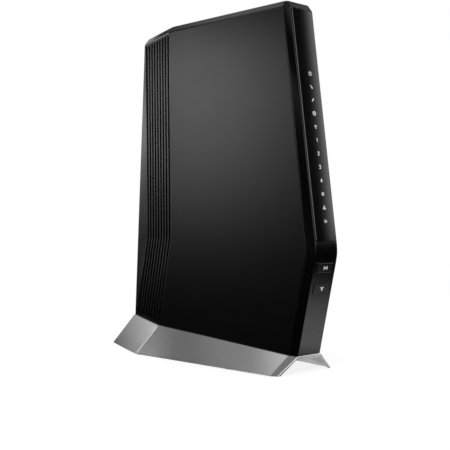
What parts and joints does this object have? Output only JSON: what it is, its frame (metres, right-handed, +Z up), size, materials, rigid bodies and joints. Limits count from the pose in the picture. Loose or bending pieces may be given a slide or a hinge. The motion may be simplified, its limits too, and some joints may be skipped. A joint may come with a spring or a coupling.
{
  "type": "cable modem",
  "caption": "Tower cable modem router: wedge-shaped black housing with louvred sides, lamp window and front push buttons, on a flared silver stand, with coax and network ports behind.",
  "frame": {"origin": "on the floor, under the middle of the object's outline", "axes": "+Z up, -Y towards the front with the lamps and buttons, +X to the right seen from the front"},
  "size_m": [0.0904, 0.241, 0.2705],
  "materials": {
    "stand_metal": "satin silver paint on a die casting",
    "foot_rubber": "matte black rubber",
    "screw_steel": "plated steel",
    "housing_plastic": "fine satin texture, black",
    "bezel_plastic": "satin black",
    "button_plastic": "satin black",
    "window_plastic": "polished smoked black",
    "light_plastic": "milky translucent white",
    "circuit_board": "green solder mask",
    "inner_plastic": "moulded black",
    "sink_aluminium": "plain extruded aluminium",
    "shield_steel": "tinned sheet steel",
    "port_brass": "plated brass",
    "jack_plastic": "moulded black with metal shield",
    "antenna_board": "bare laminate with copper"
  },
  "bodies": {
    "housing": {"stand": "stand_metal", "stand_feet": "foot_rubber", "stand_screws": "screw_steel", "bottom_plate": "housing_plastic", "left_cover": "housing_plastic", "right_cover": "housing_plastic", "top_cap": "housing_plastic", "front_bezel": "bezel_plastic", "led_window": "window_plastic", "light_guide": "light_plastic", "led_board": "circuit_board", "led_lamps": "light_plastic", "led_board_screws": "screw_steel", "button_board": "circuit_board", "button_switches": "shield_steel", "button_board_screws": "screw_steel", "rear_panel": "bezel_plastic", "main_board": "circuit_board", "board_screws": "screw_steel", "chips": "inner_plastic", "processor_heat_sink": "sink_aluminium", "modem_heat_sink": "sink_aluminium", "radio_shields": "shield_steel", "tuner_can": "shield_steel", "capacitors": "inner_plastic", "coax_connector": "port_brass", "coax_nut": "shield_steel", "lan_jack_1": "jack_plastic", "lan_jack_2": "jack_plastic", "lan_jack_3": "jack_plastic", "lan_jack_4": "jack_plastic", "fast_lan_jack": "jack_plastic", "usb_socket": "shield_steel", "power_inlet": "inner_plastic", "power_switch": "inner_plastic", "reset_switch": "inner_plastic", "left_antennas": "antenna_board", "right_antennas": "antenna_board"},
    "wifi_button_body": {"wifi_button": "button_plastic", "wifi_plunger": "inner_plastic"},
    "sync_button_body": {"sync_button": "button_plastic", "sync_plunger": "inner_plastic"},
    "power_button_body": {"power_button": "button_plastic"},
    "reset_button_body": {"reset_button": "button_plastic"}
  },
  "joints": [
    {"name": "wifi_button_press", "type": "slide", "parent": "housing", "child": "wifi_button_body", "axis": [0, 0.9728, 0.2317], "range_m": [0, 0.0008], "stiffness_N_per_m": 1500},
    {"name": "sync_button_press", "type": "slide", "parent": "housing", "child": "sync_button_body", "axis": [0, 0.9728, 0.2317], "range_m": [0, 0.0008], "stiffness_N_per_m": 1500},
    {"name": "power_button_press", "type": "slide", "parent": "housing", "child": "power_button_body", "axis": [0, -0.9986, -0.053], "range_m": [0, 0.0016], "stiffness_N_per_m": 1200},
    {"name": "reset_button_press", "type": "slide", "parent": "housing", "child": "reset_button_body", "axis": [0, -0.9986, -0.053], "range_m": [0, 0.0006], "stiffness_N_per_m": 1500}
  ]
}
